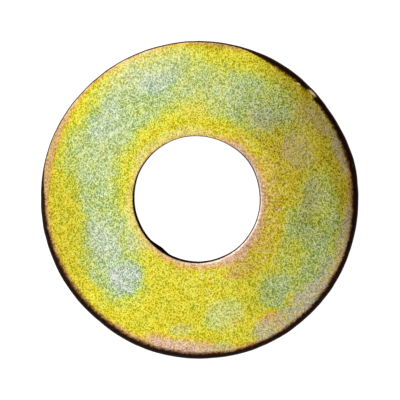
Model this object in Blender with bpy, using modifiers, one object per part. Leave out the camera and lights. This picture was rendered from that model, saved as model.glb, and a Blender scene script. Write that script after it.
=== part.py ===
"""A stamped flat washer, modelled in Blender in metres, lying on the plane z = 0 with its axis on +Z.

The real thing is one piece of steel sheet, blanked and pierced in one stroke, so the model is one
turned solid. Its section has what the press leaves: both edges of the upper face are rolled over,
each wall is straight where it was sheared and leans back where the sheet broke, and the two lower
edges are only broken by tumbling.
"""

import math

import bpy

MM = 0.001
INCH = 25.4 * MM

# Driving dimensions: the wide pattern of plain washer for a 5/8 inch bolt.
OUTER_RADIUS = 1.750 * INCH / 2
HOLE_RADIUS = 0.6875 * INCH / 2
THICKNESS = 0.134 * INCH

# The rolled edges of the upper face: how far each reaches across the face and down the wall.
OUTER_ROLL_WIDTH = 0.90 * MM
OUTER_ROLL_DEPTH = 0.80 * MM
HOLE_ROLL_WIDTH = 0.50 * MM
HOLE_ROLL_DEPTH = 0.40 * MM

# The walls: sheared straight down to a share of the thickness, then broken off at a slope.
SHEARED_SHARE = 0.45
OUTER_BREAK_LEAN = 0.16 * MM
HOLE_BREAK_LEAN = 0.14 * MM

# The lower edges, worn by tumbling.
LOWER_EDGE_RADIUS = 0.15 * MM

ROLL_POINTS = 6
EDGE_POINTS = 3
TURN_STEPS = 120
SHARP_EDGE_ANGLE = math.radians(35)

PLATED_STEEL_COLOUR = (0.62, 0.55, 0.13, 1.0)
PLATED_STEEL_ROUGHNESS = 0.38


def clear_scene():
    for obj in list(bpy.data.objects):
        bpy.data.objects.remove(obj, do_unlink=True)


def new_collection(name):
    collection = bpy.data.collections.new(name)
    bpy.context.scene.collection.children.link(collection)
    return collection


def plated_steel():
    material = bpy.data.materials.new("yellow_zinc_steel")
    material.use_nodes = True
    shader = material.node_tree.nodes["Principled BSDF"]
    shader.inputs["Base Color"].default_value = PLATED_STEEL_COLOUR
    shader.inputs["Metallic"].default_value = 1.0
    shader.inputs["Roughness"].default_value = PLATED_STEEL_ROUGHNESS
    return material


def quarter_ellipse(centre, half_width, half_height, start_degrees, points):
    """Points (radius, height) of a quarter turn about centre, clockwise from start_degrees."""
    arc = []
    for i in range(points):
        angle = math.radians(start_degrees - 90.0 * i / (points - 1))
        arc.append(
            (
                centre[0] + half_width * math.cos(angle),
                centre[1] + half_height * math.sin(angle),
            )
        )
    return arc


def outer_side():
    """The section from the upper face down the outer wall to the lower face."""
    roll_centre = (OUTER_RADIUS - OUTER_ROLL_WIDTH, THICKNESS - OUTER_ROLL_DEPTH)
    roll = quarter_ellipse(roll_centre, OUTER_ROLL_WIDTH, OUTER_ROLL_DEPTH, 90, ROLL_POINTS)
    shear_end = (OUTER_RADIUS, THICKNESS * (1 - SHEARED_SHARE))
    foot_radius = OUTER_RADIUS - OUTER_BREAK_LEAN
    edge_centre = (foot_radius - LOWER_EDGE_RADIUS, LOWER_EDGE_RADIUS)
    edge = quarter_ellipse(edge_centre, LOWER_EDGE_RADIUS, LOWER_EDGE_RADIUS, 0, EDGE_POINTS)
    return [*roll, shear_end, *edge]


def hole_side():
    """The section from the lower face up the hole's wall to the upper face."""
    foot_radius = HOLE_RADIUS + HOLE_BREAK_LEAN
    edge_centre = (foot_radius + LOWER_EDGE_RADIUS, LOWER_EDGE_RADIUS)
    edge = quarter_ellipse(edge_centre, LOWER_EDGE_RADIUS, LOWER_EDGE_RADIUS, 270, EDGE_POINTS)
    shear_end = (HOLE_RADIUS, THICKNESS * (1 - SHEARED_SHARE))
    roll_centre = (HOLE_RADIUS + HOLE_ROLL_WIDTH, THICKNESS - HOLE_ROLL_DEPTH)
    roll = quarter_ellipse(roll_centre, HOLE_ROLL_WIDTH, HOLE_ROLL_DEPTH, 180, ROLL_POINTS)
    return [*edge, shear_end, *roll]


def turned_mesh(name, section):
    """The closed mesh of a solid of revolution about Z, from a closed section of (radius, height)."""
    count = len(section)
    outline = bpy.data.meshes.new(name + "_section")
    points = [(radius, 0.0, height) for radius, height in section]
    edges = [(i, (i + 1) % count) for i in range(count)]
    outline.from_pydata(points, edges, [])
    guide = bpy.data.objects.new(name + "_section", outline)
    bpy.context.scene.collection.objects.link(guide)

    screw = guide.modifiers.new("turn", "SCREW")
    screw.axis = "Z"
    screw.angle = math.tau
    screw.steps = TURN_STEPS
    screw.render_steps = TURN_STEPS
    screw.use_merge_vertices = True
    screw.merge_threshold = 0.01 * MM

    turned = guide.evaluated_get(bpy.context.evaluated_depsgraph_get())
    mesh = bpy.data.meshes.new_from_object(turned)
    mesh.name = name
    bpy.data.objects.remove(guide, do_unlink=True)
    bpy.data.meshes.remove(outline)
    return mesh


def build_washer(collection):
    mesh = turned_mesh("washer", [*outer_side(), *hole_side()])
    mesh.shade_smooth()
    mesh.set_sharp_from_angle(angle=SHARP_EDGE_ANGLE)
    mesh.materials.append(plated_steel())
    washer = bpy.data.objects.new("washer", mesh)
    collection.objects.link(washer)
    return washer


def main():
    clear_scene()
    build_washer(new_collection("flat_washer"))


main()
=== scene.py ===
import math
from types import SimpleNamespace

import bpy
import numpy as np
from mathutils import Matrix, Vector, noise


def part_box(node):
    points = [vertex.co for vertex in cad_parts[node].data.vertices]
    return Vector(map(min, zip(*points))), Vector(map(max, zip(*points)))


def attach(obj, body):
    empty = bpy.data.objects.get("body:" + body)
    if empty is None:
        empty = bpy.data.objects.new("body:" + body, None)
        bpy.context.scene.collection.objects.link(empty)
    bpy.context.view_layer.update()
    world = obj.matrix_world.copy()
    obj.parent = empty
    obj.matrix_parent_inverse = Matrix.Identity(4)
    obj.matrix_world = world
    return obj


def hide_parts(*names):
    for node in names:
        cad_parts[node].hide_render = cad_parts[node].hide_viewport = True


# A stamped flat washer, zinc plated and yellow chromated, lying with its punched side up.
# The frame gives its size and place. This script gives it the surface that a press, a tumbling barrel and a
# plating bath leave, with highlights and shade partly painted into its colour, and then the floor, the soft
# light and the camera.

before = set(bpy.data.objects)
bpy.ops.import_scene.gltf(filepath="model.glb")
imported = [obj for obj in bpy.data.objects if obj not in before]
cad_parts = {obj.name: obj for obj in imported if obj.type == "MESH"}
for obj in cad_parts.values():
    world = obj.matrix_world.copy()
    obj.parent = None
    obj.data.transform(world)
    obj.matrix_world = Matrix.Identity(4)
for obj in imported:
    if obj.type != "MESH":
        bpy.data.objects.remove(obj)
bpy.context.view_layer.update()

MM = 0.001

# ---------------------------------------------------------------- the washer's shape, from the frame

washer_low, washer_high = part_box("washer")
OUTER_RADIUS = (washer_high.x - washer_low.x) / 2
THICKNESS = washer_high.z - washer_low.z
HOLE_RADIUS = min(math.hypot(v.co.x, v.co.y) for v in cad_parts["washer"].data.vertices)
FACE_WIDTH = OUTER_RADIUS - HOLE_RADIUS

# The rolled edges of the upper face, close to the CAD part's, before they vary round the turn.
OUTER_ROLL_WIDTH = 0.96 * MM
OUTER_ROLL_DEPTH = 0.80 * MM
HOLE_ROLL_WIDTH = 0.50 * MM
HOLE_ROLL_DEPTH = 0.50 * MM
ROLL_FULLNESS = 1.5
HOLE_ROLL_FULLNESS = 2.1
FACE_DROOP = 0.035 * MM
FACE_DROOP_REACH = 2.2 * MM

# The walls: sheared straight, then broken at a slope.
SHEARED_SHARE = 0.45
SHEAR_UNEVENNESS = 0.3
OUTER_BREAK_LEAN = 0.16 * MM
HOLE_BREAK_LEAN = 0.14 * MM
BREAK_CURVE = 0.8
LOWER_EDGE_RADIUS = 0.15 * MM

# The outlines stay inside the CAD part's by this much, before they wander.
RIM_MARGIN = 0.02 * MM
HOLE_MARGIN = 0.05 * MM

# The hole was pierced a little off the blank's centre.
HOLE_OFFSET = 0.35 * MM
HOLE_OFFSET_ANGLE = math.radians(148)
HOLE_SHIFT = (HOLE_OFFSET * math.cos(HOLE_OFFSET_ANGLE), HOLE_OFFSET * math.sin(HOLE_OFFSET_ANGLE), 0)

# The tongue of torn metal on the hole's wall. Its height and rise are shares of the thickness.
TONGUE_ANGLE = math.radians(233)
TONGUE_SPREAD = math.radians(9)
TONGUE_REACH = 0.34 * MM
TONGUE_HEIGHT = 0.45
TONGUE_RISE = 0.28

# A point nearer to the axis than this belongs to the hole's wall.
HOLE_WALL_LIMIT = HOLE_RADIUS + HOLE_BREAK_LEAN + 0.02 * MM

# Chips are knocked out of the rolled rim above this share of the thickness.
CHIPS_ABOVE = 0.6

# The chips: angle in degrees, distance in from the rim, length, width and depth in millimetres.
# A depth below 0 is metal pushed up and worn through the plating, and given a painted highlight.
RIM_CHIPS = [
    (43.4, 0.40, 1.80, 0.32, -0.16),
    (43.6, 1.02, 1.10, 0.30, 0.14),
    (49.3, 0.78, 0.70, 0.24, -0.10),
    (40.5, 0.50, 0.60, 0.40, 0.16),
    (13.0, 0.10, 0.70, 0.40, 0.20),
    (81.0, 0.25, 0.60, 0.30, 0.10),
    (238.0, 0.45, 0.70, 0.35, 0.10),
    (301.0, 0.40, 0.60, 0.30, 0.10),
]

# Where the rim, the hole and the rolled rim are wider or narrower: angle in degrees, extra
# millimetres and spread in radians.
RIM_SWELLS = [
    (14, 0.10, 0.12),
    (160, 0.07, 0.30),
    (36, -0.12, 0.20),
    (232, -0.06, 0.20),
]
HOLE_SWELLS = [
    (36, 0.12, 0.35),
    (165, 0.08, 0.60),
]
RIM_ROLL_SWELLS = [
    (10, 0.22, 0.26),
    (50, 0.02, 0.20),
    (63, 0.42, 0.14),
    (222, 0.39, 0.60),
    (264, 0.24, 0.20),
    (320, 0.12, 0.15),
    (343, -0.04, 0.12),
]

# The side where the rolled rim is slight, and the side where the hole's rolled edge is wide.
SLIGHT_RIM_ANGLE = math.radians(119)
SLIGHT_RIM_REACH = math.radians(66)
WIDE_HOLE_ANGLE = math.radians(335)

# How many steps go round the turn, and how many rings follow each stretch of the section.
TURN_STEPS = 840
FACE_RINGS = 34
RIM_ROLL_RINGS = 12
RIM_SHEAR_RINGS = 6
RIM_BREAK_RINGS = 10
LOWER_EDGE_RINGS = 4
UNDERSIDE_RINGS = 14
HOLE_BREAK_RINGS = 9
HOLE_SHEAR_RINGS = 5
HOLE_ROLL_RINGS = 11

NOISE_SHIFT = Vector((7.3, 1.9, 4.1))


def bump(angle, centre, spread):
    """1 at the centre angle, falling to 0 on both sides as a bell of that spread, in radians."""
    away = np.angle(np.exp(1j * (angle - centre)))
    return np.exp(-((away / spread) ** 2))


def swollen(turn, swells):
    """The extra metres that a table of swells gives at each angle."""
    return sum(extra * MM * bump(turn, math.radians(degrees), spread) for degrees, extra, spread in swells)


def ripple(turn, wavelength, seed):
    """Smooth noise round the turn, from about -1 to 1, with features a wavelength across in radians."""
    circle = zip(np.cos(turn).tolist(), np.sin(turn).tolist())
    return np.array([noise.noise(Vector((x, y, 0)) / wavelength + NOISE_SHIFT * seed) for x, y in circle])


def ease(values):
    """The smooth step from 0 to 1."""
    share = np.clip(values, 0, 1)
    return share * share * (3 - 2 * share)


def rim_radius(turn):
    """The blank's outline: nearly round, with the small flats and swells that tumbling leaves."""
    wander = 0.05 * MM * ripple(turn, 0.45, 1)
    nicks = 0.035 * MM * ripple(turn, 0.06, 6)
    return OUTER_RADIUS - RIM_MARGIN + wander + nicks + swollen(turn, RIM_SWELLS)


def hole_radius(turn):
    """The hole's outline, a little out of round where the punch tore free."""
    wander = 0.03 * MM * ripple(turn, 0.3, 5)
    return HOLE_RADIUS + HOLE_MARGIN + wander + swollen(turn, HOLE_SWELLS)


def hole_roll_width(turn):
    """How far the hole's rolled edge reaches: its full width on one side, and 0.45 of it opposite."""
    towards_wide_side = ease((np.cos(turn - WIDE_HOLE_ANGLE) + 0.35) / 0.9)
    return HOLE_ROLL_WIDTH * (0.45 + 0.55 * towards_wide_side)


def rim_roll_width(turn):
    """How far the rolled rim reaches across the upper face: a fifth of its width on the slight side."""
    slight = ease((np.cos(turn - SLIGHT_RIM_ANGLE) - math.cos(SLIGHT_RIM_REACH)) / 0.28)
    width = OUTER_ROLL_WIDTH * (1 - 0.80 * slight) + swollen(turn, RIM_ROLL_SWELLS)
    return width * (1 + 0.14 * ripple(turn, 0.12, 2))


def quarter(share, fullness=2.0):
    """Across and down, from 0 to 1, along a rounded corner that leaves the face level.

    A fullness of 2 is a quarter ellipse, and less is nearer to a chamfer.
    """
    angle = share * math.pi / 2
    return math.sin(angle) ** (2 / fullness), 1 - math.cos(angle) ** (2 / fullness)


def shares(count):
    """Even shares of a stretch up to 1, without 0, where the stretch before it ended."""
    return np.linspace(0, 1, count + 1)[1:]


def washer_section(turn):
    """The rings of the washer's section as arrays (ring, turn): radius and height.

    They run from the hole's rolled edge outwards over the face, down the outer wall, back under
    the washer and up the hole's wall. The hole's radii are measured from the hole's own centre.
    """
    rim = rim_radius(turn)
    hole = hole_radius(turn)
    rim_roll = rim_roll_width(turn)
    hole_roll = hole_roll_width(turn)
    hole_depth = HOLE_ROLL_DEPTH * hole_roll / HOLE_ROLL_WIDTH
    rim_depth = OUTER_ROLL_DEPTH * (0.45 + 0.55 * np.minimum(rim_roll / OUTER_ROLL_WIDTH, 1.3))
    shear = THICKNESS * (1 - SHEARED_SHARE * (1 + SHEAR_UNEVENNESS * ripple(turn, 0.12, 4)))
    rings = []

    def add(radius, height):
        rings.append((radius + 0 * turn, height + 0 * turn))

    for share in np.linspace(0, 1, FACE_RINGS):
        start = hole + hole_roll
        end = rim - rim_roll
        radius = start + (end - start) * share
        near_edge = np.minimum(radius - start, end - radius) / FACE_DROOP_REACH
        add(radius, THICKNESS - FACE_DROOP * (1 - ease(near_edge)))
    for share in shares(RIM_ROLL_RINGS):
        across, down = quarter(share, ROLL_FULLNESS)
        drop = FACE_DROOP + (rim_depth - FACE_DROOP) * down
        add(rim - rim_roll * (1 - across), THICKNESS - drop)
    for share in shares(RIM_SHEAR_RINGS):
        top = THICKNESS - rim_depth
        add(rim, top + (shear - top) * share)
    for share in shares(RIM_BREAK_RINGS):
        lean = OUTER_BREAK_LEAN * share ** BREAK_CURVE
        add(rim - lean, shear + (LOWER_EDGE_RADIUS - shear) * share)
    for share in shares(LOWER_EDGE_RINGS):
        across, down = quarter(share)
        add(rim - OUTER_BREAK_LEAN - LOWER_EDGE_RADIUS * down, LOWER_EDGE_RADIUS * (1 - across))
    for share in shares(UNDERSIDE_RINGS):
        start = rim - OUTER_BREAK_LEAN - LOWER_EDGE_RADIUS
        end = hole + HOLE_BREAK_LEAN + LOWER_EDGE_RADIUS
        add(start + (end - start) * share, 0)
    for share in shares(LOWER_EDGE_RINGS):
        across, down = quarter(share)
        add(hole + HOLE_BREAK_LEAN + LOWER_EDGE_RADIUS * (1 - across), LOWER_EDGE_RADIUS * down)
    for share in shares(HOLE_BREAK_RINGS):
        lean = HOLE_BREAK_LEAN * (1 - share) ** BREAK_CURVE
        add(hole + lean, LOWER_EDGE_RADIUS + (shear - LOWER_EDGE_RADIUS) * share)
    for share in shares(HOLE_SHEAR_RINGS):
        top = THICKNESS - hole_depth
        add(hole, shear + (top - shear) * share)
    for share in shares(HOLE_ROLL_RINGS)[:-1]:
        across, down = quarter(1 - share, HOLE_ROLL_FULLNESS)
        drop = FACE_DROOP + (hole_depth - FACE_DROOP) * down
        add(hole + hole_roll * (1 - across), THICKNESS - drop)
    radius = np.array([ring[0] for ring in rings])
    height = np.array([ring[1] for ring in rings])
    return radius, height


def washer_points():
    """Every point of the fine surface as arrays (ring, turn) of x, y and z."""
    turn = np.linspace(0, math.tau, TURN_STEPS, endpoint=False)
    radius, height = washer_section(turn)
    level = height / THICKNESS

    rise = np.exp(-(((level - TONGUE_HEIGHT) / TONGUE_RISE) ** 2))
    tongue = bump(turn, TONGUE_ANGLE, TONGUE_SPREAD) * rise
    radius = radius - np.where(radius < HOLE_WALL_LIMIT, TONGUE_REACH * tongue, 0)

    upper = level > CHIPS_ABOVE
    for degrees, inward, length, width, depth in RIM_CHIPS:
        along = np.angle(np.exp(1j * (turn - math.radians(degrees)))) * OUTER_RADIUS / (length * MM / 2)
        across = (radius - OUTER_RADIUS + inward * MM) / (width * MM / 2)
        height = height - np.where(upper, depth * MM * np.exp(-(along ** 2) - across ** 2), 0)

    centred = ease((radius - HOLE_RADIUS) / FACE_WIDTH)
    x = radius * np.cos(turn) + HOLE_SHIFT[0] * (1 - centred)
    y = radius * np.sin(turn) + HOLE_SHIFT[1] * (1 - centred)
    return x, y, height


def washer_body():
    x, y, z = washer_points()
    rings, steps = x.shape
    points = np.stack([x, y, z], axis=-1).reshape(-1, 3)
    faces = []
    for ring in range(rings):
        this = ring * steps
        following = (ring + 1) % rings * steps
        for step in range(steps):
            after = (step + 1) % steps
            faces.append((this + step, following + step, following + after, this + after))
    mesh = bpy.data.meshes.new("washer_body")
    mesh.from_pydata(points.tolist(), [], faces)
    mesh.shade_smooth()
    body = bpy.data.objects.new("washer_body", mesh)
    bpy.context.scene.collection.objects.link(body)
    return body


# ---------------------------------------------------------------- shader graphs

class Graph:
    """Adds shader nodes to one tree. Most methods return the new node's output socket."""

    def __init__(self, tree):
        self.tree = tree

    def node(self, kind, inputs, **settings):
        """A node with its settings, and its inputs by name or number: a socket is linked, a value is set."""
        made = self.tree.nodes.new(kind)
        for name, value in settings.items():
            setattr(made, name, value)
        for name, value in inputs.items():
            if isinstance(value, bpy.types.NodeSocket):
                self.tree.links.new(value, made.inputs[name])
            else:
                made.inputs[name].default_value = value
        return made

    def math(self, operation, first, second=0.0, third=0.0, clamp=False):
        inputs = {0: first, 1: second, 2: third}
        return self.node("ShaderNodeMath", inputs, operation=operation, use_clamp=clamp).outputs[0]

    def vector(self, operation, first, second):
        return self.node("ShaderNodeVectorMath", {0: first, 1: second}, operation=operation).outputs[0]

    def length(self, vector):
        return self.node("ShaderNodeVectorMath", {0: vector}, operation="LENGTH").outputs["Value"]

    def part(self, vector, axis):
        return self.node("ShaderNodeSeparateXYZ", {0: vector}).outputs[axis]

    def polar(self, place):
        """How far a place is from the origin, and its angle round the Z axis."""
        parts = self.node("ShaderNodeSeparateXYZ", {0: place}).outputs
        return self.length(place), self.math("ARCTAN2", parts["Y"], parts["X"])

    def step(self, value, low, high, at_low=0.0, at_high=1.0):
        """A smooth step from at_low to at_high as the value goes from low to high."""
        inputs = {"Value": value, "From Min": low, "From Max": high, "To Min": at_low, "To Max": at_high}
        return self.node("ShaderNodeMapRange", inputs, interpolation_type="SMOOTHSTEP").outputs["Result"]

    def speckle(self, vector, size, detail=2.0, roughness=0.5):
        """Noise from 0 to 1 with features about a size across, in metres."""
        inputs = {"Vector": vector, "Scale": 1 / size, "Detail": detail, "Roughness": roughness}
        return self.node("ShaderNodeTexNoise", inputs).outputs["Fac"]

    def around_zero(self, share):
        """A share from 0 to 1, moved to -0.5 to 0.5."""
        return self.math("SUBTRACT", share, 0.5)

    def wander(self, vector, size, reach):
        """The vector moved by up to about a reach, along noise with features a size across."""
        inputs = {"Vector": vector, "Scale": 1 / size, "Detail": 4.0}
        colour = self.node("ShaderNodeTexNoise", inputs).outputs["Color"]
        shift = self.vector("MULTIPLY", self.vector("SUBTRACT", colour, (0.5, 0.5, 0.5)), (2 * reach,) * 3)
        return self.vector("ADD", vector, shift)

    def ramp(self, value, stops):
        """A colour ramp through (place, colour) stops."""
        made = self.node("ShaderNodeValToRGB", {"Fac": value})
        elements = made.color_ramp.elements
        while len(elements) < len(stops):
            elements.new(0.5)
        for element, (place, colour) in zip(elements, stops):
            element.position = place
            element.color = (*colour, 1)
        return made.outputs["Color"]

    def mix(self, factor, first, second):
        """Between two colours, from the first at 0 to the second at 1."""
        made = self.node("ShaderNodeMix", {0: factor, 6: first, 7: second}, data_type="RGBA")
        return made.outputs[2]

    def tint(self, colour, tint):
        """A colour multiplied by another."""
        inputs = {0: 1.0, 6: colour, 7: tint}
        return self.node("ShaderNodeMix", inputs, data_type="RGBA", blend_type="MULTIPLY").outputs[2]

    def blend(self, factor, first, second):
        """Between two numbers, from the first at 0 to the second at 1."""
        made = self.node("ShaderNodeMix", {0: factor, 2: first, 3: second}, data_type="FLOAT")
        return made.outputs[0]


# A patch is at full strength out to PATCH_CORE of its length and width from its middle, and it is
# gone past PATCH_EDGE of them.
PATCH_CORE = 0.2822
PATCH_EDGE = 0.747


def patch(graph, spot, centre_degrees, share, along, across):
    """1 in the middle of a patch that follows the turn, fading to 0. Its size is in millimetres.

    The spot is a radius and an angle, and the share is the way from the hole to the rim.
    """
    radius, angle = spot
    middle = HOLE_RADIUS + FACE_WIDTH * share
    away = graph.math("SUBTRACT", angle, math.radians(centre_degrees))
    away = graph.math("WRAP", away, math.pi, -math.pi)
    around = graph.math("MULTIPLY", away, middle / (along * MM))
    outward = graph.math("SUBTRACT", radius, middle)
    outward = graph.math("MULTIPLY", outward, 1 / (across * MM))
    local = graph.node("ShaderNodeCombineXYZ", {0: around, 1: outward}).outputs[0]
    return graph.step(graph.length(local), PATCH_EDGE, PATCH_CORE)


def with_patches(graph, spot, patches, start):
    """The start value, drawn towards each patch's own value inside it."""
    value = start
    for centre, share, along, across, level in patches:
        value = graph.blend(patch(graph, spot, centre, share, along, across), value, level)
    return value


# ---------------------------------------------------------------- the plating's colours

# The chromate film's colours, from thin and burnt at the edges to thick in the middle of the face.
FILM_COLOURS = [
    (0.00, (0.070, 0.036, 0.016)),
    (0.08, (0.300, 0.160, 0.080)),
    (0.16, (0.800, 0.430, 0.330)),
    (0.24, (0.810, 0.480, 0.160)),
    (0.32, (0.850, 0.530, 0.030)),
    (0.40, (0.880, 0.700, 0.004)),
    (0.50, (0.790, 0.750, 0.004)),
    (0.60, (0.570, 0.670, 0.030)),
    (0.70, (0.420, 0.620, 0.160)),
    (0.80, (0.390, 0.600, 0.340)),
    (0.90, (0.460, 0.560, 0.560)),
    (1.00, (0.620, 0.560, 0.420)),
]

# The colours of the grain's ridges and hollows, on the same scale: partly the grain's own tone, partly a
# painted highlight on the ridges and painted shade in the hollows.
GLINT_COLOURS = [
    (0.15, (1.00, 0.84, 0.72)),
    (0.30, (1.00, 0.82, 0.30)),
    (0.42, (1.00, 0.90, 0.14)),
    (0.60, (1.00, 0.95, 0.34)),
    (0.75, (0.96, 0.96, 0.72)),
    (0.90, (0.96, 0.96, 0.98)),
]
HOLLOW_TONE_AND_SHADE_COLOURS = [
    (0.18, (0.42, 0.20, 0.09)),
    (0.36, (0.13, 0.15, 0.01)),
]

# Bloom from the grain's hollows to its ridges, darker to lighter, partly as painted shade and highlight; and
# the tints of painted shade and of the rolled edges, darkened partly by burnt film and partly by painted
# shade, as they go from none to full.
BLOOM_LIGHT_AND_SHADE_COLOURS = [
    (0.0, (0.38, 0.34, 0.25)),
    (0.5, (0.55, 0.50, 0.39)),
    (1.0, (0.78, 0.72, 0.58)),
]
PAINTED_SHADE_TINTS = [
    (0.0, (1.00, 1.00, 1.00)),
    (1.0, (0.55, 0.47, 0.50)),
]
BURN_AND_SHADE_TINTS = [
    (0.0, (1.00, 1.00, 1.00)),
    (0.3, (0.50, 0.36, 0.24)),
    (0.6, (0.12, 0.065, 0.05)),
    (1.0, (0.04, 0.025, 0.03)),
]

# The walls' streaks, from dark to light.
WALL_COLOURS = [
    (0.25, (0.060, 0.034, 0.012)),
    (0.50, (0.240, 0.150, 0.045)),
    (0.72, (0.450, 0.320, 0.120)),
]

SPECK_COLOUR = (0.10, 0.09, 0.015, 1)
HAZE_COLOUR = (0.96, 0.90, 0.66, 1)
# The painted highlight on the warm side of the hole's rolled edge.
PAINTED_EDGE_HIGHLIGHT_COLOUR = (1.00, 0.92, 0.80, 1)
CHIP_METAL_AND_HIGHLIGHT_COLOUR = (1.00, 0.72, 0.50, 1)
PIT_COLOUR = (0.060, 0.045, 0.012, 1)
SCRATCH_COLOUR = (0.980, 0.920, 0.600, 1)
PLAIN_SHEEN = (1, 1, 1, 1)
# The tint that darkens reflections on the hole's steep faces: painted shade.
HOLE_SHADE_SHEEN = (0.05, 0.04, 0.05, 1)

# The film's place on its scale where no patch lies, at the rim, and at the hole where it is plain
# and where it is warm.
FILM_LEVEL = 0.46
RIM_FILM_LEVEL = 0.24
HOLE_FILM_LEVEL = 0.29
WARM_HOLE_FILM_LEVEL = 0.18

# Every table of patches below gives angle in degrees, share of the way from hole to rim, length
# along the turn and width across it in millimetres, and the value inside the patch.

# Where the film is thicker or thinner: its place on the colour scale.
FILM_PATCHES = [
    (60, 0.12, 12, 3, 0.42),
    (54, 0.56, 8, 7, 0.65),
    (70, 0.51, 10, 7.0, 0.69),
    (98, 0.64, 9, 6, 0.65),
    (118, 0.60, 13, 8, 0.69),
    (142, 0.54, 13, 7.2, 0.71),
    (166, 0.55, 12.5, 8.6, 0.70),
    (187, 0.40, 10, 6.5, 0.70),
    (203, 0.42, 10, 8, 0.70),
    (216, 0.50, 10, 8.6, 0.68),
    (227, 0.47, 4.5, 4.3, 0.86),
    (110, 0.66, 5, 3, 0.80),
    (140, 0.60, 5, 3.5, 0.77),
    (204, 0.44, 6, 4, 0.79),
    (278, 0.60, 4, 3, 0.58),
    (284, 0.51, 4.6, 3.4, 0.58),
    (311, 0.59, 5.5, 5, 0.70),
    (330, 0.65, 7.5, 5.2, 0.67),
    (315, 0.77, 3, 1.6, 0.48),
    (302, 0.79, 3.4, 2.2, 0.28),
    (306, 0.18, 6.5, 2.2, 0.35),
    (343, 0.57, 12, 8, 0.68),
    (329, 0.45, 5, 4, 0.57),
    (2, 0.54, 7, 6, 0.62),
    (20, 0.30, 9, 4, 0.40),
    (188, 0.82, 15, 6, 0.46),
    (210, 0.86, 12, 3, 0.45),
    (262, 0.94, 10, 4, 0.17),
    (240, 0.96, 6, 2, 0.24),
    (313, 0.07, 7, 1.6, 0.24),
    (328, 0.18, 10, 3, 0.37),
    (12, 0.16, 8, 3, 0.37),
]

# Grey bloom that lies over the film, mostly on the right: its strength.
BLOOM_PATCHES = [
    (27, 0.50, 5, 4, 0.5),
    (40, 0.72, 4, 3, 0.3),
    (34, 0.86, 5, 2.2, 0.5),
    (20, 0.90, 7, 1.6, 0.8),
    (3, 0.55, 5, 3, 0.4),
    (52, 0.42, 4, 3, 0.2),
    (348, 0.92, 9, 2, 0.8),
    (330, 0.87, 5, 2.6, 0.8),
    (319, 0.86, 4.4, 3.4, 1.0),
    (309, 0.87, 4, 3, 0.85),
    (297, 0.86, 3.8, 2.6, 0.8),
    (262, 0.70, 3, 1.5, 0.4),
    (278, 0.90, 4, 1.5, 0.6),
]

# Pale haze, where the film is chalky: its strength.
HAZE_PATCHES = [
    (113, 0.82, 12, 5, 0.50),
    (150, 0.50, 9, 6, 0.25),
    (283, 0.56, 4.6, 4, 0.34),
    (203, 0.06, 9, 2, 0.45),
    (52, 0.42, 4, 3, 0.30),
    (318, 0.88, 6, 3, 0.65),
    (298, 0.87, 4, 2.6, 0.35),
    (262, 0.90, 7, 3, 0.30),
    (88, 0.50, 9, 7, 0.22),
    (125, 0.05, 15, 2.2, 0.40),
    (201, 0.41, 6, 4, 0.40),
    (213, 0.15, 3, 2.6, 0.55),
    (226, 0.47, 4, 4, 0.25),
]

# Where the tan edge of the film at the rim is narrower: by how many millimetres.
NARROW_RIM_PATCHES = [
    (112, 0.97, 26, 9, 0.8),
    (50, 0.97, 24, 8, 0.75),
]

# Where the hole's edge is warm, with tan and pink film and a painted highlight on its rolled edge: how much.
WARM_PATCHES = [
    (262, 0.0, 11, 8, 0.60),
    (337, 0.0, 21, 10, 1.00),
    (24, 0.0, 12, 9, 0.95),
]

# Where painted shade darkens the film, most of all on the right and along the rim there: how much.
PAINTED_SHADE_PATCHES = [
    (190, 0.82, 17, 8, 0.26),
    (5, 0.60, 36, 18, 0.20),
    (18, 0.46, 21, 12, 0.62),
    (36, 0.08, 8, 3.4, 0.18),
    (350, 0.22, 11, 5, 0.42),
    (320, 0.18, 10, 5, 0.38),
    (318, 0.55, 12, 7, 0.27),
    (0, 0.74, 8, 5, 0.36),
    (22, 0.90, 26, 5, 0.90),
    (168, 0.98, 13, 3, 0.30),
    (84, 0.99, 7, 2, 0.50),
]

# Small marks on the upper face: angle in degrees, distance from the middle, length and width in
# millimetres, and colour.
FACE_MARKS = [
    (64.0, 20.08, 0.30, 0.26, PIT_COLOUR),
    (317.2, 9.25, 0.34, 0.28, PIT_COLOUR),
    (38.0, 19.10, 0.22, 0.18, PIT_COLOUR),
    (352.0, 15.20, 0.20, 0.18, PIT_COLOUR),
    (24.0, 12.40, 0.22, 0.20, PIT_COLOUR),
    (44.4, 18.65, 1.50, 0.11, SCRATCH_COLOUR),
    (47.0, 17.60, 0.80, 0.09, SCRATCH_COLOUR),
]

# The share of a chip's and of a mark's size that its patch is given, because a patch reaches past
# half its size from its middle.
CHIP_COVER = 0.7
MARK_COVER = 0.6

# The sizes of the plating's noise, and how high its grain stands.
CLOUD_SIZE = 2.2 * MM
GRAIN_SIZE = 0.32 * MM
SPECK_SIZE = 0.21 * MM
MOTTLE_SIZE = 0.70 * MM
RAGGED_SIZE = 0.45 * MM
STREAK_SIZE = 0.16 * MM
WEAR_SIZE = 1.2 * MM
GRAIN_HEIGHT = 0.034 * MM

# How the outlines of the patches and of the film's edges wander: the noise's size and its reach.
WIDE_WANDER = (4.0 * MM, 0.90 * MM)
FINE_WANDER = (1.3 * MM, 0.65 * MM)
EDGE_WANDER = (0.9 * MM, 0.35 * MM)

# How far the clouds and the grain move the film along its colour scale.
CLOUD_STRENGTH = 0.30
GRAIN_STRENGTH = 0.30

# How bright the hole's wall is, as a share of the rim's.
HOLE_WALL_SHADE = 0.14

# The roughness of the face where it is smooth and where it is worn, and of the walls.
SMOOTH_ROUGHNESS = 0.36
WORN_ROUGHNESS = 0.48
WALL_ROUGHNESS = 0.5


# ---------------------------------------------------------------- the plating

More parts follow.
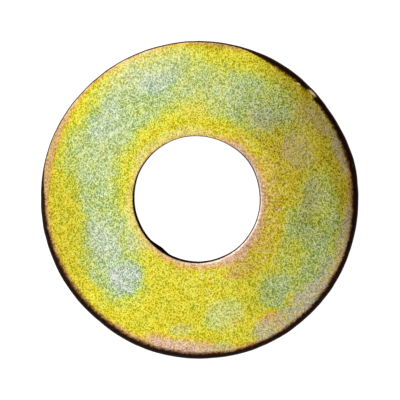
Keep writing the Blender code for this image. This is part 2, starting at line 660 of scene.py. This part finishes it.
def surface_places(graph):
    """The sockets that the plating is laid out by: where a point is, which way it faces, its grain."""
    surface = graph.node("ShaderNodeTexCoord", {})
    point = surface.outputs["Object"]
    flat = graph.vector("MULTIPLY", point, (1, 1, 0))
    level = graph.math("ABSOLUTE", graph.part(surface.outputs["Normal"], "Z"))
    place = graph.wander(graph.wander(flat, *WIDE_WANDER), *FINE_WANDER)
    turning = {"Vector": point, "Rotation": (0.4, 0.7, 0.6), "Scale": (1, 0.78, 1)}
    grain_place = graph.node("ShaderNodeMapping", turning).outputs[0]
    grain = graph.speckle(grain_place, GRAIN_SIZE, 2.0, 0.6)
    return SimpleNamespace(
        point=point,
        flat=flat,
        level=level,
        steep=graph.step(level, 0.30, 0.10),
        by_rim=graph.step(graph.length(flat), OUTER_RADIUS - 2 * MM, OUTER_RADIUS - 1.9 * MM),
        spot=graph.polar(flat),
        wandering_spot=graph.polar(place),
        edge_place=graph.wander(flat, *EDGE_WANDER),
        grain_place=grain_place,
        grain=grain,
        ridges=graph.step(graph.math("ABSOLUTE", graph.around_zero(grain)), 0.10, 0.0),
    )


def rim_fade(graph, at):
    """0 at the rim to 1 where the film is as on the face."""
    gap = graph.math("SUBTRACT", OUTER_RADIUS, graph.length(at.edge_place))
    narrower = with_patches(graph, at.wandering_spot, NARROW_RIM_PATCHES, 0.0)
    gap = graph.math("MULTIPLY_ADD", narrower, MM, gap)
    return graph.step(gap, 0.7 * MM, 1.9 * MM)


def hole_fade(graph, at, warmth):
    """0 at the hole to 1 where the film is as on the face, further out where the edge is warm."""
    from_centre = graph.length(graph.vector("SUBTRACT", at.edge_place, HOLE_SHIFT))
    gap = graph.math("SUBTRACT", from_centre, HOLE_RADIUS)
    gap = graph.math("MULTIPLY_ADD", warmth, -0.60 * MM, gap)
    return graph.step(gap, -0.3 * MM, 1.5 * MM)


def film_level(graph, at, warmth, rim, hole):
    """The film's place on its colour scale."""
    film = with_patches(graph, at.wandering_spot, FILM_PATCHES, FILM_LEVEL)
    clouds = graph.around_zero(graph.speckle(at.flat, CLOUD_SIZE, 3.0, 0.6))
    film = graph.math("MULTIPLY_ADD", clouds, CLOUD_STRENGTH, film)
    film = graph.math("MULTIPLY_ADD", graph.around_zero(at.grain), GRAIN_STRENGTH, film)
    film = graph.blend(rim, graph.math("MINIMUM", film, RIM_FILM_LEVEL), film)
    hole_film = graph.blend(warmth, HOLE_FILM_LEVEL, WARM_HOLE_FILM_LEVEL)
    return graph.blend(hole, graph.math("MINIMUM", film, hole_film), film)


def grain_with_painted_light(graph, at, film, edge_fade, painted_shade):
    """The film's colour with a painted highlight on the grain's ridges and painted shade in its hollows,
    partly their own tone, and black specks, most of them where the painted shade lies.
    """
    colour = graph.ramp(film, FILM_COLOURS)
    contrast = graph.blend(edge_fade, 0.85, 1.0)
    # Painted highlight on the grain's ridges, then painted shade in its hollows, both partly the grain's own
    # tone.
    glint = graph.math("MULTIPLY", graph.step(at.ridges, 0.58, 1.0, 0.0, 0.90), contrast)
    colour = graph.mix(glint, colour, graph.ramp(film, GLINT_COLOURS))
    hollow_tone_and_shade = graph.math("MULTIPLY", graph.step(at.ridges, 0.32, 0.0, 0.0, 0.54), contrast)
    colour = graph.mix(hollow_tone_and_shade, colour, graph.ramp(film, HOLLOW_TONE_AND_SHADE_COLOURS))
    specks = graph.step(graph.speckle(at.grain_place, SPECK_SIZE, 1.0), 0.385, 0.31)
    specks = graph.math("MULTIPLY", specks, graph.step(painted_shade, 0.0, 0.6, 0.20, 1.0))
    return graph.mix(specks, colour, SPECK_COLOUR)


def veiled(graph, at, colour):
    """The colour under mottled haze and bloom; the bloom is darker in the grain's hollows and lighter on its
    ridges, partly as painted shade and highlight.
    """
    mottle = graph.step(graph.speckle(at.flat, MOTTLE_SIZE, 4.0, 0.65), 0.36, 0.60, 0.30, 0.95)
    haze = with_patches(graph, at.wandering_spot, HAZE_PATCHES, 0.0)
    haze = graph.math("MULTIPLY", haze, graph.blend(mottle, 0.35, 1.0))
    haze = graph.math("MULTIPLY", haze, graph.step(at.ridges, 0.0, 0.8, 0.35, 1.0))
    colour = graph.mix(haze, colour, HAZE_COLOUR)
    bloom = with_patches(graph, at.wandering_spot, BLOOM_PATCHES, 0.0)
    bloom = graph.math("MULTIPLY", bloom, mottle, clamp=True)
    return graph.mix(bloom, colour, graph.ramp(at.ridges, BLOOM_LIGHT_AND_SHADE_COLOURS))


def burnt_and_shaded_edges(graph, at, warmth, colour):
    """The colour with a painted highlight where the warm hole's edge turns down, and painted shade, partly
    burnt film, on the rolled edges.
    """
    ragged = graph.around_zero(graph.speckle(at.point, RAGGED_SIZE, 4.0, 0.65))
    level = graph.math("MULTIPLY_ADD", ragged, 0.24, at.level)
    # Painted highlight where the hole's rolled edge slopes towards the key light on its warm side.
    painted_edge_highlight = graph.math("MULTIPLY", graph.step(level, 0.995, 0.93), graph.blend(at.by_rim, warmth, 0.0))
    painted_edge_highlight = graph.math("MULTIPLY", painted_edge_highlight, graph.step(at.ridges, 0.2, 0.8, 0.45, 1.0))
    colour = graph.mix(painted_edge_highlight, colour, PAINTED_EDGE_HIGHLIGHT_COLOUR)
    # Painted shade on the rolled edges, darkest where they are steepest, partly burnt film.
    rim_burn_and_shade = graph.step(level, 0.99, 0.80)
    hole_burn_and_shade = graph.step(level, 0.84, 0.64)
    return graph.tint(colour, graph.ramp(graph.blend(at.by_rim, hole_burn_and_shade, rim_burn_and_shade), BURN_AND_SHADE_TINTS))


def streaked_wall(graph, at):
    """The walls' colour, drawn out downwards as the press left it, and darker in the hole."""
    drawn_out = graph.vector("MULTIPLY", at.point, (1, 1, 0.1))
    colour = graph.ramp(graph.speckle(drawn_out, STREAK_SIZE, 3.0, 0.6), WALL_COLOURS)
    shade = graph.blend(at.by_rim, HOLE_WALL_SHADE, 1.0)
    return graph.node("ShaderNodeVectorMath", {0: colour, "Scale": shade}, operation="SCALE").outputs[0]


def chips_metal_and_highlight(graph, at, colour):
    """The colour on the chips where metal was pushed up: plating worn through, with a painted highlight."""
    for degrees, inward, length, width, depth in RIM_CHIPS:
        if depth < 0:
            share = 1 - inward * MM / FACE_WIDTH
            chip_metal_and_highlight = patch(graph, at.spot, degrees, share, length * CHIP_COVER, width * CHIP_COVER)
            # Painted highlight on the raised chips, over metal worn through the plating.
            colour = graph.mix(chip_metal_and_highlight, colour, CHIP_METAL_AND_HIGHLIGHT_COLOUR)
    return colour


def marked_face(graph, at, colour):
    """The colour with the small marks on the upper face, and how deep in a mark each point is."""
    upper = graph.step(graph.part(at.point, "Z"), THICKNESS - 0.5 * MM, THICKNESS - 0.3 * MM)
    depth = 0.0
    for degrees, distance, length, width, mark_colour in FACE_MARKS:
        share = (distance * MM - HOLE_RADIUS) / FACE_WIDTH
        mark = patch(graph, at.spot, degrees, share, length * MARK_COVER, width * MARK_COVER)
        mark = graph.math("MULTIPLY", mark, upper)
        colour = graph.mix(mark, colour, mark_colour)
        depth = graph.math("ADD", mark, depth)
    return colour, depth


def plated_steel():
    """Bright zinc under an uneven yellow chromate film, burnt brown on the edges and walls, with highlights
    and shade painted on its grain, chips, rolled edges and hole.
    """
    material = bpy.data.materials.new("plated_steel")
    material.use_nodes = True
    graph = Graph(material.node_tree)
    at = surface_places(graph)

    warmth = with_patches(graph, at.wandering_spot, WARM_PATCHES, 0.0)
    painted_shade = with_patches(graph, at.wandering_spot, PAINTED_SHADE_PATCHES, 0.0)
    rim = rim_fade(graph, at)
    hole = hole_fade(graph, at, warmth)
    film = film_level(graph, at, warmth, rim, hole)

    colour = grain_with_painted_light(graph, at, film, graph.math("MULTIPLY", rim, hole), painted_shade)
    colour = veiled(graph, at, colour)
    # Painted shade: the film darkened where less light falls, most of all on the right.
    colour = graph.tint(colour, graph.ramp(painted_shade, PAINTED_SHADE_TINTS))
    colour = burnt_and_shaded_edges(graph, at, warmth, colour)
    colour = graph.mix(at.steep, colour, streaked_wall(graph, at))
    colour = chips_metal_and_highlight(graph, at, colour)
    colour, mark_depth = marked_face(graph, at, colour)

    # Painted shade in the hole: reflections on its steep faces are tinted nearly black.
    painted_hole_shade = graph.math("MULTIPLY", graph.step(at.level, 0.85, 0.55), graph.blend(at.by_rim, 1.0, 0.0))
    wear = graph.speckle(at.point, WEAR_SIZE, 4.0)
    face_roughness = graph.step(wear, 0.3, 0.7, SMOOTH_ROUGHNESS, WORN_ROUGHNESS)
    relief = graph.math("MULTIPLY_ADD", mark_depth, -1.0, at.grain)
    bumped = graph.node("ShaderNodeBump", {"Strength": 1.0, "Distance": GRAIN_HEIGHT, "Height": relief})

    shader = material.node_tree.nodes["Principled BSDF"]
    links = material.node_tree.links
    links.new(colour, shader.inputs["Base Color"])
    links.new(graph.blend(at.steep, face_roughness, WALL_ROUGHNESS), shader.inputs["Roughness"])
    links.new(graph.mix(painted_hole_shade, PLAIN_SHEEN, HOLE_SHADE_SHEEN), shader.inputs["Specular Tint"])
    links.new(bumped.outputs["Normal"], shader.inputs["Normal"])
    shader.inputs["Metallic"].default_value = 1.0
    return material


# ---------------------------------------------------------------- floor, light and camera

FLOOR_HALF_WIDTH = 1.5
FLOOR_HEIGHT = -0.02 * MM
FLOOR_GLOW = 0.92


def pale_floor():
    """A plain pale floor that shines a little by itself, so that it stays white around the washer."""
    half = FLOOR_HALF_WIDTH
    mesh = bpy.data.meshes.new("floor")
    corners = [(x, y, FLOOR_HEIGHT) for x, y in ((-half, -half), (half, -half), (half, half), (-half, half))]
    mesh.from_pydata(corners, [], [(0, 1, 2, 3)])
    plate = bpy.data.objects.new("floor", mesh)
    bpy.context.scene.collection.objects.link(plate)
    plate.visible_glossy = False

    material = bpy.data.materials.new("pale_floor")
    material.use_nodes = True
    shader = material.node_tree.nodes["Principled BSDF"]
    shader.inputs["Base Color"].default_value = (0.5, 0.5, 0.5, 1)
    shader.inputs["Roughness"].default_value = 1.0
    shader.inputs["Specular IOR Level"].default_value = 0.0
    shader.inputs["Emission Color"].default_value = (1, 1, 1, 1)
    shader.inputs["Emission Strength"].default_value = FLOOR_GLOW
    mesh.materials.append(material)


KEY_ANGLE = math.radians(140)
KEY_HEIGHT = math.radians(20)
KEY_LIGHT = 1.10
SKY_LIGHT = 0.58
LOW_LIGHT = 0.34
FLOOR_LIGHT = 0.40


def studio_light():
    """A soft dome: bright overhead and round the key direction, dim low down, white to the camera."""
    world = bpy.data.worlds.new("studio")
    world.use_nodes = True
    bpy.context.scene.world = world
    graph = Graph(world.node_tree)
    background = world.node_tree.nodes["Background"]
    key = (
        math.cos(KEY_HEIGHT) * math.cos(KEY_ANGLE),
        math.cos(KEY_HEIGHT) * math.sin(KEY_ANGLE),
        math.sin(KEY_HEIGHT),
    )
    direction = graph.node("ShaderNodeTexCoord", {}).outputs["Generated"]
    upward = graph.part(direction, "Z")
    sky = graph.step(upward, math.sin(math.radians(25)), math.sin(math.radians(65)), LOW_LIGHT, SKY_LIGHT)
    bounce = graph.step(upward, -0.05, -0.35, 0.0, FLOOR_LIGHT)
    bounce = graph.math("MULTIPLY", bounce, graph.step(upward, -0.9, -0.6))
    towards_key = graph.node("ShaderNodeVectorMath", {0: direction, 1: key}, operation="DOT_PRODUCT")
    glow = graph.step(towards_key.outputs["Value"], 0.45, 1.0, 0.0, KEY_LIGHT)
    dome = graph.math("ADD", graph.math("ADD", sky, glow), bounce)
    to_camera = graph.node("ShaderNodeLightPath", {}).outputs["Is Camera Ray"]
    world.node_tree.links.new(graph.blend(to_camera, dome, 1.0), background.inputs["Strength"])
    background.inputs["Color"].default_value = (1, 1, 1, 1)


SOFTBOX_PLACE = Vector((-28, 2, 110)) * MM
SOFTBOX_WIDTH = 60 * MM
SOFTBOX_LENGTH = 150 * MM
SOFTBOX_BRIGHTNESS = 0.68


def softbox():
    """A soft strip light close above the key side, so that its light falls off over the washer."""
    data = bpy.data.lights.new("softbox", "AREA")
    data.shape = "RECTANGLE"
    data.size = SOFTBOX_WIDTH
    data.size_y = SOFTBOX_LENGTH
    data.energy = SOFTBOX_BRIGHTNESS * math.pi * SOFTBOX_WIDTH * SOFTBOX_LENGTH
    light = bpy.data.objects.new("softbox", data)
    bpy.context.scene.collection.objects.link(light)
    light.location = SOFTBOX_PLACE
    light.visible_camera = False


FRAME_WIDTH = 55.65 * MM
LENS = 250
CAMERA_TILT = math.radians(6)
CAMERA_TILT_ANGLE = math.radians(35)
VIEW_CENTRE = Vector((0.23 * MM, 0.11 * MM, THICKNESS))


def overhead_camera():
    """Nearly straight down, leaning a little towards the upper right, with +Y up in the picture."""
    data = bpy.data.cameras.new("camera")
    data.lens = LENS
    data.clip_start = 5 * MM
    camera = bpy.data.objects.new("camera", data)
    bpy.context.scene.collection.objects.link(camera)
    distance = FRAME_WIDTH * LENS / data.sensor_width
    back = Vector((
        math.sin(CAMERA_TILT) * math.cos(CAMERA_TILT_ANGLE),
        math.sin(CAMERA_TILT) * math.sin(CAMERA_TILT_ANGLE),
        math.cos(CAMERA_TILT),
    ))
    right = Vector((0, 1, 0)).cross(back).normalized()
    turned = Matrix((right, back.cross(right), back)).transposed().to_4x4()
    camera.matrix_world = Matrix.Translation(VIEW_CENTRE + back * distance) @ turned
    bpy.context.scene.camera = camera


washer = washer_body()
washer.data.materials.append(plated_steel())
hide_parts("washer")
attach(washer, "root")

pale_floor()
studio_light()
softbox()
overhead_camera()
bpy.context.scene.view_settings.view_transform = "Standard"
